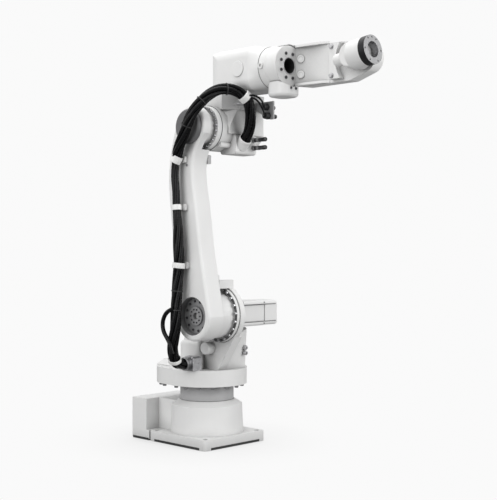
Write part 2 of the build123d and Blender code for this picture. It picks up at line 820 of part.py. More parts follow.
# Housing slung under the rotating front
with BuildPart() as roll_belly:
    belly_rear = BARREL_END + BELLY_GAP
    with BuildSketch(Plane.XY.offset(A4_Z - BELLY_DROP)):
        with Locations(((belly_rear + BELLY_END) / 2, 0)):
            RectangleRounded(BELLY_END - belly_rear, BELLY_W, 40)
    extrude(amount=BELLY_H)
    fillet(roll_belly.edges().group_by(Axis.Z)[0], 14)
    with BuildSketch(yz(BARREL_END)):
        with Locations((0, A4_Z)):
            Circle(ROLL_R)
    extrude(amount=BELLY_END, mode=Mode.SUBTRACT)
save(roll_belly, "roll_belly")

# One-sided wrist arm on the far side of the rotating front
with BuildPart() as wrist_arm:
    with BuildSketch(xz(YOKE_OUT)):
        with BuildLine():
            Polyline(
                arc_point(A5_X, A4_Z, YOKE_TIP_R, 84),
                (A5_X - 90, A4_Z + YOKE_TOP - 12),
                (ROLL_END, A4_Z + YOKE_TOP),
                (YOKE_START, A4_Z + YOKE_TOP),
                (YOKE_START, A4_Z - YOKE_LOW + 15),
                (ROLL_END + 30, A4_Z - YOKE_LOW),
                (A5_X - 64, A4_Z - YOKE_LOW),
                arc_point(A5_X, A4_Z, YOKE_TIP_R, -70),
            )
            ThreePointArc(
                arc_point(A5_X, A4_Z, YOKE_TIP_R, -70),
                arc_point(A5_X, A4_Z, YOKE_TIP_R, 0),
                arc_point(A5_X, A4_Z, YOKE_TIP_R, 84),
            )
        make_face()
    extrude(amount=YOKE_OUT)
    fillet(wrist_arm.edges().group_by(Axis.Y)[-1], YOKE_ROUND)
    with BuildSketch(Plane.XY.offset(A4_Z - 2 * YOKE_TOP)):
        with BuildLine():
            Polyline(
                (A5_X + YOKE_TIP_R + 1, YOKE_IN),
                (A5_X + YOKE_TIP_R + 1, -1),
                (ROLL_END, -1),
                (ROLL_END, YOKE_ROOT_IN),
            )
            Spline(
                (ROLL_END, YOKE_ROOT_IN),
                (ROLL_END + YOKE_THROAT, YOKE_IN),
                tangents=((0.6, 0.8), (1, 0)),
            )
            Line((ROLL_END + YOKE_THROAT, YOKE_IN), (A5_X + YOKE_TIP_R + 1, YOKE_IN))
        make_face()
    extrude(amount=4 * YOKE_TOP, mode=Mode.SUBTRACT)
    with BuildSketch(yz(YOKE_START - 1)):
        with Locations((0, A4_Z)):
            Circle(ROLL_R)
    extrude(amount=ROLL_END - YOKE_START + 1, mode=Mode.SUBTRACT)
    add(roll_belly.part, mode=Mode.SUBTRACT)
save(wrist_arm, "wrist_arm")

# Bolted block on the inner face of the wrist arm, clear of the flange's sweep
with BuildPart() as axis5_block:
    with BuildSketch(xz(YOKE_IN)):
        with Locations(((BLOCK5_REAR + A5_X) / 2, A4_Z)):
            Rectangle(A5_X - BLOCK5_REAR, BLOCK5_H)
        with Locations((A5_X, A4_Z)):
            Circle(SWEEP5_R, mode=Mode.SUBTRACT)
    extrude(amount=BLOCK5_T)
    fillet(axis5_block.edges().filter_by(Axis.Z).group_by(Axis.X)[0].sort_by(Axis.Y)[0], 3)
save(axis5_block, "axis5_block")

bend_dir = (math.cos(math.radians(A5_TILT)), 0, math.sin(math.radians(A5_TILT)))


def bend_plane(distance):
    """Plane across the tool axis at this distance from axis 5."""
    place = (A5_X + distance * bend_dir[0], 0, A4_Z + distance * bend_dir[2])
    return Plane(origin=place, x_dir=(0, 1, 0), z_dir=bend_dir)


# Bend housing on axis 5, with its drive to the rear
with BuildPart() as bend_housing:
    with BuildSketch(xz(YOKE_IN - RUN)):
        with Locations((A5_X, A4_Z)):
            Circle(HUB5_R)
    extrude(amount=YOKE_IN - RUN - HUB5_OUT)
    fillet(bend_housing.edges().group_by(Axis.Y)[0], 8)
    with BuildSketch(bend_plane(0)):
        Circle(BEND_R)
    extrude(amount=FLANGE_X - FLANGE_T - FLANGE_NECK - RUN)
    fillet(bend_housing.edges().filter_by(GeomType.CIRCLE).group_by(Axis.X)[0], 4)
save(bend_housing, "bend_housing")

with BuildPart() as wrist_drive:
    with BuildSketch(bend_plane(-DRIVE_BACK)):
        Circle(DRIVE_R)
    extrude(amount=DRIVE_BACK)
    fillet(wrist_drive.edges().group_by(Axis.X)[0], DRIVE_R * 0.6)
    with BuildSketch(xz(YOKE_IN)):
        with Locations((A5_X, A4_Z)):
            Circle(HUB5_R)
    extrude(amount=2 * YOKE_IN, mode=Mode.SUBTRACT)
save(wrist_drive, "wrist_drive")

# Tool flange with a tapped circle, a dowel hole and a through bore
with BuildPart() as tool_flange:
    with BuildSketch(bend_plane(FLANGE_X)):
        Circle(FLANGE_R)
        Circle(FLANGE_BORE_R, mode=Mode.SUBTRACT)
    extrude(amount=-FLANGE_T - FLANGE_NECK)
    with BuildSketch(bend_plane(FLANGE_X)):
        with PolarLocations(FLANGE_PCD / 2, 6):
            Circle(FLANGE_HOLE_R)
        with Locations((0, FLANGE_PCD / 2)):
            Circle(FLANGE_HOLE_R - 0.4)
    extrude(amount=-FLANGE_HOLE_DEEP, mode=Mode.SUBTRACT)
save(tool_flange, "tool_flange")


def corner_radii(points):
    """Arc radius at each corner: as large as its shorter run allows."""
    radii = []
    for before, here, after in zip(points, points[1:], points[2:]):
        run_in = Vector(*here) - Vector(*before)
        run_out = Vector(*after) - Vector(*here)
        half_turn = math.radians(run_in.get_angle(run_out)) / 2
        shorter = min(run_in.length, run_out.length)
        radii.append(0.45 * shorter / math.tan(half_turn))
    return radii


def bundle(points, spread, across=(1, 0, 0)):
    """Routes of the cables of a bundle, side by side along one centre route."""
    routes = []
    for a, b in spread:
        route = []
        for k, here in enumerate(points):
            before = Vector(*points[max(k - 1, 0)])
            after = Vector(*points[min(k + 1, len(points) - 1)])
            along = (after - before).normalized()
            side = Vector(*across)
            side = (side - along * side.dot(along)).normalized()
            other = along.cross(side)
            route.append(tuple(Vector(*here) + side * a + other * b))
        routes.append(route)
    return routes


def tubes(name, cables, *ends):
    """One node of round cables, each a route and a diameter, cut off at the end parts."""
    with BuildPart() as cable:
        for route, size in cables:
            radii = corner_radii(route)
            with BuildLine() as line:
                FilletPolyline(*route, radius=radii)
            start = Plane(origin=route[0], z_dir=Vector(*route[1]) - Vector(*route[0]))
            with BuildSketch(start):
                Circle(size / 2)
            sweep(path=line.wires()[0])
            print(name, "length", round(line.wires()[0].length))
        for end in ends:
            add(end.part, mode=Mode.SUBTRACT)
    save(cable, name)


tubes("cable_lower_loop", [(r, CABLE_D) for r in bundle(lower_loop, THREE)] + [(spare_loop, SPARE_D)])
tubes("cable_arm_run", [(r, CABLE_D) for r in bundle(arm_run, THREE)])
tubes("cable_upper_loop", [(r, CABLE_D) for r in bundle(upper_loop, THREE)])
tubes("cable_elbow_run", [(r, CABLE_D) for r in bundle(elbow_run, THREE, (0, 1, 0))])
tubes("connector_leads", [(lead_upper, LEAD_D), (lead_lower, LEAD_D)], elbow_clamp, connectors)
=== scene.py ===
import json
import math

import bmesh
import bpy
from mathutils import Matrix, Vector


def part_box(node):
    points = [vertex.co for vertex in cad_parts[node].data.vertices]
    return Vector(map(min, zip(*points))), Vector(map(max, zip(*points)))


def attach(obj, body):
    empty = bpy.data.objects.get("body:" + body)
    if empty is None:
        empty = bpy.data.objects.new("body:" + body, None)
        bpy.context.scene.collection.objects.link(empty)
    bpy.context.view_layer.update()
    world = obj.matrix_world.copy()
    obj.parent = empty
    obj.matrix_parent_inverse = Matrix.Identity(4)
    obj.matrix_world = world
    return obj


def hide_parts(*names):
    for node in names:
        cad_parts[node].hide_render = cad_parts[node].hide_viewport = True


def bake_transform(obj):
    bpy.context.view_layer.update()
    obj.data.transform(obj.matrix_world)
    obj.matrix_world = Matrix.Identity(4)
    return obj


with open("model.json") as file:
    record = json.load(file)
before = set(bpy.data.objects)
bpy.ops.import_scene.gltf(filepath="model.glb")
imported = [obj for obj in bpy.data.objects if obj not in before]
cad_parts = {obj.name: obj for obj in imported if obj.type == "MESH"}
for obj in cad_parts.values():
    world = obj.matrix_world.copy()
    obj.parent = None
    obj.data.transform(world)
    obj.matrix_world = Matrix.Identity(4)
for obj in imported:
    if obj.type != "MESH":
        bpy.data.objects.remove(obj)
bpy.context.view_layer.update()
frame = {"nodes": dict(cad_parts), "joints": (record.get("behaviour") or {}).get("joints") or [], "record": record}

nodes = frame["nodes"]
axes = {j["name"]: Vector(j["pos_m"]) for j in frame["joints"]}
A2 = axes["axis2_lower_arm"]
A3 = axes["axis3_elbow"]
A4 = axes["axis4_wrist_roll"]
A5 = axes["axis5_wrist_bend"]
TOOL_DIR = Vector(next(j["axis"] for j in frame["joints"] if j["name"] == "axis6_tool"))

# Camera at the photograph's place, with a lens for an image of 497 x 500 pixels
CAM_PLACE = Vector((3.27274, -3.06008, 0.84533))
CAM_DIR = Vector((-0.70275, 0.71140, -0.00667))
CAM_LENS = 75.34

scene = bpy.context.scene
camera_data = bpy.data.cameras.new("camera")
camera_data.lens = CAM_LENS
camera_data.sensor_width = 36
camera_data.clip_end = 200
camera = bpy.data.objects.new("camera", camera_data)
camera.location = CAM_PLACE
camera.rotation_mode = "QUATERNION"
camera.rotation_quaternion = CAM_DIR.to_track_quat("-Z", "Y")
scene.collection.objects.link(camera)
scene.camera = camera
scene.view_settings.view_transform = "Standard"


# Materials
class Graph:
    """A material's node tree, with short calls to add and link nodes."""

    def __init__(self, name):
        self.material = bpy.data.materials.new(name)
        self.material.use_nodes = True
        self.tree = self.material.node_tree
        self.shader = self.tree.nodes["Principled BSDF"]
        self.output = self.tree.nodes["Material Output"]

    def node(self, kind, **settings):
        """A new node, with its settings or the values of its inputs."""
        made = self.tree.nodes.new(kind)
        for key, value in settings.items():
            if hasattr(made, key):
                setattr(made, key, value)
            else:
                made.inputs[key.replace("_", " ")].default_value = value
        return made

    def link(self, source, target):
        self.tree.links.new(source, target)

    def noise(self, scale, detail=2.0, rough=0.5):
        texture = self.node("ShaderNodeTexNoise")
        texture.inputs["Scale"].default_value = scale
        texture.inputs["Detail"].default_value = detail
        texture.inputs["Roughness"].default_value = rough
        place = self.node("ShaderNodeTexCoord")
        self.link(place.outputs["Object"], texture.inputs["Vector"])
        return texture.outputs["Fac"]

    def between(self, value, low, high, out_low, out_high):
        """A value mapped from one range to another."""
        ranged = self.node("ShaderNodeMapRange")
        for k, v in enumerate((low, high, out_low, out_high)):
            ranged.inputs[k + 1].default_value = v
        self.link(value, ranged.inputs[0])
        return ranged.outputs[0]

    def ramp(self, value, stops):
        """A colour ramp with stops of position and grey or colour."""
        ramp = self.node("ShaderNodeValToRGB")
        points = ramp.color_ramp.elements
        while len(points) < len(stops):
            points.new(0.5)
        for point, (where, colour) in zip(points, stops):
            point.position = where
            point.color = (*colour, 1)
        self.link(value, ramp.inputs["Fac"])
        return ramp.outputs["Color"]

    def bump(self, height, strength, distance, under=None):
        bump = self.node("ShaderNodeBump")
        bump.inputs["Strength"].default_value = strength
        bump.inputs["Distance"].default_value = distance
        self.link(height, bump.inputs["Height"])
        if under is not None:
            self.link(under, bump.inputs["Normal"])
        return bump.outputs["Normal"]

    def painted_hollow_shade(self, colour, hollow_shade_reach, hollow_shade_deepest):
        """A colour with painted shade: darker where the surface is closed in."""
        # Painted shade: ambient occlusion makes the colour darker in hollows
        closed = self.node("ShaderNodeAmbientOcclusion", samples=8)
        closed.inputs["Distance"].default_value = hollow_shade_reach
        mixed = self.node("ShaderNodeMix", data_type="RGBA", blend_type="MULTIPLY")
        mixed.inputs["Factor"].default_value = 1.0
        self.link(colour, mixed.inputs["A"])
        shade = self.ramp(closed.outputs["AO"], [(0.25, (hollow_shade_deepest,) * 3), (0.85, (1.0,) * 3)])
        self.link(shade, mixed.inputs["B"])
        return mixed.outputs["Result"]

    def soft_edges(self, radius):
        """Normals that round the edges off by a radius."""
        bevel = self.node("ShaderNodeBevel", samples=4)
        bevel.inputs["Radius"].default_value = radius
        return bevel.outputs["Normal"]

    def give(self, name, value):
        """Links a value to one of the shader's inputs."""
        self.link(value, self.shader.inputs[name])

    def drift(self, colour, scale, detail, dark, light, start=0.3):
        """A colour that drifts between a darker and a lighter tone."""
        tones = [(start, tone(colour, dark)), (0.7, tone(colour, light))]
        return self.ramp(self.noise(scale, detail), tones)

    def rough_patches(self, scale, detail, low, high):
        """Roughness that changes in patches between two values."""
        self.give("Roughness", self.between(self.noise(scale, detail), 0.3, 0.7, low, high))


def tone(colour, share):
    """A colour made darker or lighter by a share."""
    return tuple(min(1.0, c * share) for c in colour)


def painted(name, colour, rough=0.42, edge=0.0018, peel=0.05, cast=0.0, hollow_shade_reach=0.07, hollow_shade_deepest=0.55):
    """Paint with orange peel, faint clouds, soft edges and painted shade in its hollows; cast is a casting's
    grain.
    """
    g = Graph(name)
    # Painted shade: the paint's colour is made darker in hollows, where the surface is closed in
    g.give("Base Color", g.painted_hollow_shade(g.drift(colour, 7, 4, 0.975, 1.015), hollow_shade_reach, hollow_shade_deepest))
    g.rough_patches(35, 3, rough - 0.05, rough + 0.06)
    g.shader.inputs["Specular IOR Level"].default_value = 0.4
    normal = g.bump(g.noise(650, 2), peel, 0.0006, g.soft_edges(edge))
    if cast:
        normal = g.bump(g.noise(220, 3, 0.6), cast, 0.0012, normal)
    g.give("Normal", normal)
    return g.material


def metal(name, colour, rough=0.32, grain=0.15):
    """Bare machined steel with fine grain."""
    g = Graph(name)
    g.give("Base Color", g.drift(colour, 60, 4, 0.9, 1.08))
    g.shader.inputs["Metallic"].default_value = 1.0
    g.rough_patches(180, 3, rough - 0.08, rough + 0.1)
    g.give("Normal", g.bump(g.noise(900, 2), grain, 0.0003, g.soft_edges(0.0006)))
    return g.material


def rubbery(name, colour, rough=0.5, grain=0.2):
    """Moulded rubber or plastic with a fine matt grain."""
    g = Graph(name)
    g.give("Base Color", g.drift(colour, 25, 3, 0.85, 1.2))
    g.rough_patches(90, 2, rough - 0.08, rough + 0.08)
    g.give("Normal", g.bump(g.noise(800, 2), grain, 0.0004, g.soft_edges(0.001)))
    return g.material


def sheathed(name, colour):
    """Cable sheath: smooth black with a fine spiral lay, from the tube's own lengthwise coordinates."""
    g = Graph(name)
    lay = g.node("ShaderNodeTexWave", wave_type="BANDS", bands_direction="DIAGONAL")
    lay.inputs["Scale"].default_value = 1.0
    lay.inputs["Distortion"].default_value = 0.4
    place = g.node("ShaderNodeTexCoord")
    g.link(place.outputs["UV"], lay.inputs["Vector"])
    g.give("Base Color", g.drift(colour, 40, 3, 0.7, 1.5, start=0.35))
    g.rough_patches(120, 2, 0.22, 0.36)
    g.shader.inputs["Specular IOR Level"].default_value = 0.14
    g.give("Normal", g.bump(lay.outputs["Fac"], 0.25, 0.0006))
    return g.material


def flange_steel(name, face, rim):
    """Tool flange: pale ground face, blackened rim and bore, with a worn edge between them."""
    wear = 0.16
    g = Graph(name)
    place = g.node("ShaderNodeTexCoord")
    turned = g.node("ShaderNodeVectorMath", operation="DOT_PRODUCT")
    turned.inputs[1].default_value = TOOL_DIR
    g.link(place.outputs["Normal"], turned.inputs[0])
    facing_out = g.between(turned.outputs["Value"], 0.75, 0.9, 0.0, 1.0)
    worn = g.node("ShaderNodeMath", operation="MULTIPLY_ADD")
    g.link(g.noise(70, 4), worn.inputs[0])
    worn.inputs[1].default_value = wear
    g.link(facing_out, worn.inputs[2])
    g.give("Base Color", g.ramp(worn.outputs[0], [(0.0, rim), (wear, tone(rim, 1.5)), (1.0, face)]))
    g.shader.inputs["Metallic"].default_value = 0.6
    g.rough_patches(160, 3, 0.34, 0.5)
    g.give("Normal", g.bump(g.noise(900, 2), 0.12, 0.0003, g.soft_edges(0.0008)))
    return g.material


WHITE = (0.80, 0.80, 0.795)
mat_white = painted("white_paint", WHITE)
mat_cast = painted("white_cast_paint", WHITE, rough=0.46, cast=0.16)
# Casting paint with stronger painted shade reaching further into hollows, for the wrist arm, elbow and belly
mat_cast_deep_shade = painted("white_cast_paint_deep_painted_shade", WHITE, rough=0.46, cast=0.16, hollow_shade_reach=0.20, hollow_shade_deepest=0.32)
mat_grey = painted("grey_paint", (0.46, 0.46, 0.465), rough=0.4)
mat_cover = painted("dark_cover_paint", (0.13, 0.13, 0.134), rough=0.42, peel=0.12)
mat_steel = metal("machined_steel", (0.55, 0.55, 0.56))
mat_bright = metal("bright_bolt_steel", (0.50, 0.50, 0.51), rough=0.3)
# Dark colour for seams and holes, and painted shade along the motor's grooves
mat_dark_seam_and_groove_shade = rubbery("dark_seams_and_painted_groove_shade", (0.075, 0.075, 0.077), rough=0.55, grain=0.15)
mat_bolt = metal("bolt_steel", (0.34, 0.34, 0.35), rough=0.34)
mat_dark_steel = metal("dark_steel", (0.10, 0.10, 0.105), rough=0.38)
mat_cable = sheathed("cable_sheath", (0.004, 0.004, 0.0045))
mat_rubber = rubbery("black_rubber", (0.02, 0.02, 0.02), rough=0.6)
mat_plastic = rubbery("black_plastic", (0.024, 0.024, 0.025), rough=0.42, grain=0.1)
mat_strap = rubbery("white_strap", (0.80, 0.80, 0.79), rough=0.45, grain=0.06)
mat_tie = rubbery("black_tie", (0.022, 0.022, 0.023), rough=0.55, grain=0.1)
mat_zinc = metal("zinc_plate", (0.52, 0.52, 0.53), rough=0.42, grain=0.1)
# Dark grey that paints the shade of a deep recess onto the arm hub's plate and lining
mat_recess_painted_shade = painted("recess_painted_shade_grey", (0.30, 0.30, 0.305), rough=0.42, edge=0.0008, peel=0.1)
mat_flange = flange_steel("flange_steel", (0.30, 0.30, 0.305), (0.012, 0.012, 0.013))

material_of_slot = {
    "white_paint": mat_white,
    "grey_paint": mat_grey,
    "dark_cover": mat_cover,
    "steel": mat_steel,
    "cable_sheath": mat_cable,
    "black_rubber": mat_rubber,
    "black_plastic": mat_plastic,
}
own_material = {
    "pedestal": mat_cast,
    "turntable": mat_cast,
    "turret_column": mat_cast,
    "lower_arm": mat_cast,
    "elbow_housing": mat_cast_deep_shade,
    "roll_belly": mat_cast_deep_shade,
    "wrist_arm": mat_cast_deep_shade,
    "axis2_hub_plate": mat_recess_painted_shade,
    "elbow_clamp": mat_zinc,
    "elbow_fittings": mat_dark_steel,
    "gland_block": mat_bolt,
    "tool_flange": mat_flange,
}
slot_of_node = {s["node"]: s["material_slot"] for s in frame["record"]["subparts"]}
for name, node in nodes.items():
    node.data.materials.clear()
    node.data.materials.append(own_material.get(name) or material_of_slot[slot_of_node[name]])


# Meshes
def piece(name, bm, material, body, slot, sharp=35):
    """A mesh piece, riding on a body when one is given, smooth but for its sharp edges."""
    limit = math.radians(sharp)
    bmesh.ops.recalc_face_normals(bm, faces=bm.faces)
    for face in bm.faces:
        face.smooth = True
    for edge in bm.edges:
        if len(edge.link_faces) == 2 and edge.calc_face_angle(0) > limit:
            edge.smooth = False
    mesh = bpy.data.meshes.new(name)
    bm.to_mesh(mesh)
    bm.free()
    made = bpy.data.objects.new(name, mesh)
    scene.collection.objects.link(made)
    made.data.materials.append(material)
    if body:
        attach(made, body)
    return made


def facing(place, direction):
    """Matrix that stands +Z along a direction at a place."""
    turn = Vector(direction).to_track_quat("Z", "Y").to_matrix().to_4x4()
    return Matrix.Translation(Vector(place)) @ turn


HEX_STEPS = 24   # a multiple of six, so that a hexagon keeps its corners


def lathe(bm, rings, matrix, steps=HEX_STEPS):
    """Closed turned form: rings of radius, height and whether the ring is a hexagon."""
    loops = []
    for radius, height, six in rings:
        loop = []
        for k in range(steps):
            angle = 2 * math.pi * k / steps
            r = radius
            if six:
                r *= math.cos(math.pi / 6) / math.cos(angle % (math.pi / 3) - math.pi / 6)
            loop.append(bm.verts.new(matrix @ Vector((r * math.cos(angle), r * math.sin(angle), height))))
        loops.append(loop)
    for low, high in zip(loops, loops[1:]):
        for k in range(steps):
            n = (k + 1) % steps
            bm.faces.new((low[k], low[n], high[n], high[k]))
    bm.faces.new(list(reversed(loops[0])))
    bm.faces.new(loops[-1])


def turned(bm, profile, matrix, steps=64):
    """Ring turned from a closed profile of radius and height."""
    loops = []
    for k in range(steps):
        angle = 2 * math.pi * k / steps
        loops.append([
            bm.verts.new(matrix @ Vector((r * math.cos(angle), r * math.sin(angle), h)))
            for r, h in profile
        ])
    for k in range(steps):
        here, then = loops[k], loops[(k + 1) % steps]
        for s in range(len(profile)):
            n = (s + 1) % len(profile)
            bm.faces.new((here[s], here[n], then[n], then[s]))


def prism(bm, outline, low, high):
    """Upright prism from an outline in X and Y."""
    bottom = [bm.verts.new((x, y, low)) for x, y in outline]
    top = [bm.verts.new((x, y, high)) for x, y in outline]
    bm.faces.new(bottom)
    bm.faces.new(top)
    for k in range(len(outline)):
        n = (k + 1) % len(outline)
        bm.faces.new((bottom[k], bottom[n], top[n], top[k]))


def block(bm, low, high):
    """Upright box between two opposite corners."""
    prism(bm, [low[:2], (high[0], low[1]), high[:2], (low[0], high[1])], low[2], high[2])


def cap_screw(bm, matrix, r, h):
    """Socket head screw."""
    socket = r * 0.52
    lathe(bm, [(r, 0, 0), (r, h * 0.86, 0), (r * 0.9, h, 0), (socket, h, 1), (socket, h * 0.45, 1)], matrix)


def hex_screw(bm, matrix, r, h):
    """Hexagon head on a thin washer."""
    washer = r * 0.18
    lathe(
        bm,
        [(r * 1.25, 0, 0), (r * 1.25, washer, 0), (r, washer, 1), (r, h * 0.9, 1), (r * 0.84, h, 0)],
        matrix,
    )


def ring_places(centre, axis, radius, count, start=0.0):
    """Places round an axis, evenly spread from a start angle in degrees."""
    turn = facing(centre, axis)
    for k in range(count):
        a = math.radians(start) + 2 * math.pi * k / count
        yield turn @ Vector((radius * math.cos(a), radius * math.sin(a), 0))


def screws(name, places, axis, head, body, make=cap_screw, material=mat_bolt):
    """A piece of equal screws, each with a head of one radius and height."""
    bm = bmesh.new()
    for place in places:
        make(bm, facing(place, axis), *head)
    piece(name, bm, material, body, "steel")


def seam(name, place, axis, body, inner, outer, proud):
    """A thin dark ring that stands a little proud of a face."""
    bm = bmesh.new()
    turned(bm, [(inner, 0), (outer, 0), (outer, proud), (inner, proud)], facing(place, axis), 96)
    piece(name, bm, mat_dark_seam_and_groove_shade, body, "black_rubber")


FLANGE_OUT = 0.094   # from axis 5 to the tool face
OUT = Vector((0, -1, 0))
UP = Vector((0, 0, 1))
FRONT = Vector((1, 0, 0))

# Radius and height of the screw heads
RING2_HEAD = (0.0062, 0.008)
RIM_HEAD = (0.0085, 0.011)
END_HEAD = (0.0062, 0.004)
MOTOR_HEAD = (0.0035, 0.003)
RING3_HEAD = (0.0052, 0.009)
PLATE_HEAD = (0.0048, 0.004)
BOSS_HEAD = (0.0034, 0.003)
BLOCK_HEAD = (0.0088, 0.0085)
BELLY_HEAD = (0.005, 0.004)
ARM_HEAD = (0.0045, 0.004)

# Radii of the screw circles
RING2_CIRCLE = 0.1065
RIM_CIRCLE = 0.152
END_CIRCLE = 0.051
RING3_CIRCLE = 0.0815
PLATE_CIRCLE = 0.060
BOSS_CIRCLE = 0.027
FLANGE_CIRCLE = 0.047

# Screws round the axis 2 reducer, in the dark groove round the arm's hub
ring2_low, ring2_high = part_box("axis2_ring")
ring2_face = Vector((A2.x, ring2_low.y, A2.z))
ring2_places = ring_places(ring2_face, OUT, RING2_CIRCLE, count=20, start=5)
screws("axis2_ring_screws", ring2_places, OUT, RING2_HEAD, "turret", cap_screw, mat_bright)
seam("axis2_ring_groove", ring2_face, OUT, "turret", inner=0.1002, outer=0.1126, proud=0.0012)

# Rounded flanks that lead the turntable's disc into its rear lobe
DISC_TOP = 0.318
FLANK_INSET = 0.0006   # from the disc's faces
FLANK = [
    (-0.030, -0.1672), (-0.075, -0.1660), (-0.115, -0.1610), (-0.150, -0.1485), (-0.177, -0.1300),
    (-0.1935, -0.1120), (-0.1985, -0.0950), (-0.1500, -0.0600), (-0.0300, -0.1000),
]
table_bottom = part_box("turntable")[0].z
flank_low = table_bottom + FLANK_INSET
bm = bmesh.new()
for way in (1, -1):
    prism(bm, [(x, y * way) for x, y in FLANK], flank_low, DISC_TOP - FLANK_INSET)
piece("turntable_flanks", bm, mat_cast, "turret", "white_paint", 25)

# Screws under the turntable's rim and flanks
FLANK_SCREWS = [(-0.148, -0.130), (-0.106, -0.147)]
FLANKS_FROM = -0.075   # behind this the screws sit under the flanks
flank_screws = [(x, y * way, flank_low) for x, y in FLANK_SCREWS for way in (1, -1)]
rim_places = ring_places((0, 0, table_bottom), -UP, RIM_CIRCLE, count=16, start=11)
rim_screws = [place for place in rim_places if place.x > FLANKS_FROM]
screws("turntable_screws", rim_screws + flank_screws, -UP, RIM_HEAD, "turret", hex_screw)

# Screws on the hollow end face of the forearm
roll_low, roll_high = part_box("roll_housing")
end_face = Vector((roll_high.x, 0, A4.z))
end_places = ring_places(end_face, FRONT, END_CIRCLE, count=8, start=22.5)
screws("forearm_end_screws", end_places, FRONT, END_HEAD, "wrist_roll", cap_screw, mat_dark_steel)

# Seam of the reducer ring against the column
seam("axis2_seam", (A2.x, ring2_high.y, A2.z), OUT, "turret", inner=0.1151, outer=0.1168, proud=0.0011)

# Dark strips along the grooves of the axis 2 motor and its cap, painted shade that shows the grooves, and the
# cap's small screws
GROOVE_IN = 0.017      # from the motor's upper and lower faces
GROOVE_HALF = 0.0013
CAP_SCREW_IN = 0.009
CAP_SCREW_BACK = 0.006
motor_low, motor_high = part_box("axis2_motor")
cap_low, cap_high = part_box("axis2_motor_cap")
groove_runs = [   # from, to and how far it stands proud
    (motor_low.y + 0.004, motor_high.y - 0.001, 0.0004),
    (cap_low.y + 0.001, cap_high.y - 0.012, 0.0006),
]
bm = bmesh.new()
for face_x in (motor_high.x, motor_low.x):
    for z in (motor_low.z + GROOVE_IN, motor_high.z - GROOVE_IN):
        for start, end, proud in groove_runs:
            corner = (face_x - proud, start, z - GROOVE_HALF)
            block(bm, corner, (face_x + proud, end, z + GROOVE_HALF))
piece("motor_groove_painted_shade", bm, mat_dark_seam_and_groove_shade, "turret", "black_rubber")
cap_screw_heights = (motor_low.z + CAP_SCREW_IN, motor_high.z - CAP_SCREW_IN)
cap_places = [(motor_high.x - 0.001, cap_low.y - CAP_SCREW_BACK, z) for z in cap_screw_heights]
screws("motor_cap_screws", cap_places, FRONT, MOTOR_HEAD, "turret")

# Painted shadow in the gap under the base: a dark sheet in the gap, with strips along its edges between the corner
# pads that rise onto the plate's lower edge
SHEET_LOW = 0.0008
SHEET_HIGH = 0.0057
SHEET_IN = 0.0045
STRIP_HIGH = 0.0105
STRIP_PROUD = 0.0003
PAD_SIDE = 0.034
BOX_CORNER = 0.010
PLATE_GAP = 0.004
plate_low, plate_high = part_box("base_plate")
rear_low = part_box("connector_box")[0]
bm = bmesh.new()
block(
    bm,
    (rear_low.x + SHEET_IN, plate_low.y + SHEET_IN, SHEET_LOW),
    (plate_high.x - SHEET_IN, plate_high.y - SHEET_IN, SHEET_HIGH),
)
from_x = plate_low.x + PAD_SIDE
to_x = plate_high.x - PAD_SIDE
from_y = plate_low.y + PAD_SIDE
to_y = plate_high.y - PAD_SIDE
from_rear = rear_low.x + BOX_CORNER
to_rear = plate_low.x - PLATE_GAP
for low, high in (
    ((from_x, plate_low.y - STRIP_PROUD), (to_x, from_y)),
    ((from_x, to_y), (to_x, plate_high.y + STRIP_PROUD)),
    ((to_x, from_y), (plate_high.x + STRIP_PROUD, to_y)),
    ((from_rear, rear_low.y - STRIP_PROUD), (to_rear, rear_low.y + PAD_SIDE)),
):
    block(bm, (*low, SHEET_LOW), (*high, STRIP_HIGH))
piece("base_gap_painted_shadow", bm, mat_rubber, "base", "black_rubber")

# Screws round the axis 3 reducer, seen past the arm's head
ring3_low, ring3_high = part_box("axis3_ring")
ring3_face = Vector((A3.x, ring3_low.y, A3.z))
ring3_places = ring_places(ring3_face, OUT, RING3_CIRCLE, count=24, start=4)
screws("axis3_ring_screws", ring3_places, OUT, RING3_HEAD, "elbow")

# Lining of the recess in the arm's hub in dark grey, painted shade that makes the recess look deep, and the screws
# of its plate and boss
RECESS_R = 0.0774
LINING_T = 0.0012
SEAT_R = 0.0725
SEAT_H = 0.006
BOSS_H = 0.008
arm_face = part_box("lower_arm")[0].y
hub_low, hub_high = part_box("axis2_hub_plate")
floor_at = arm_face - hub_high.y + 0.0004
bm = bmesh.new()
turned(
    bm,
    [(RECESS_R, -0.002), (RECESS_R - LINING_T, -0.0012), (RECESS_R - LINING_T, floor_at + SEAT_H),
     (SEAT_R, floor_at + SEAT_H), (SEAT_R, floor_at), (RECESS_R, floor_at)],
    facing((A2.x, arm_face, A2.z), OUT),
)
piece("hub_recess_painted_shade_lining", bm, mat_recess_painted_shade, "lower_arm", "grey_paint")
plate_places = ring_places((A2.x, hub_low.y + BOSS_H, A2.z), OUT, PLATE_CIRCLE, count=12, start=10)
screws("hub_plate_screws", plate_places, OUT, PLATE_HEAD, "lower_arm", cap_screw, mat_dark_steel)
boss_places = ring_places((A2.x, hub_low.y, A2.z), OUT, BOSS_CIRCLE, count=10)
screws("hub_boss_screws", boss_places, OUT, BOSS_HEAD, "lower_arm", cap_screw, mat_dark_steel)

# Seams of the ring against the elbow casting and of the forearm against its rotating front
seam("axis3_seam", (A3.x, ring3_high.y, A3.z), OUT, "elbow", inner=0.0905, outer=0.0923, proud=0.0011)
front_seam = (roll_low.x - 0.0004, 0, A4.z)
seam("forearm_seam", front_seam, FRONT, "elbow", inner=0.0843, outer=0.0853, proud=0.0009)

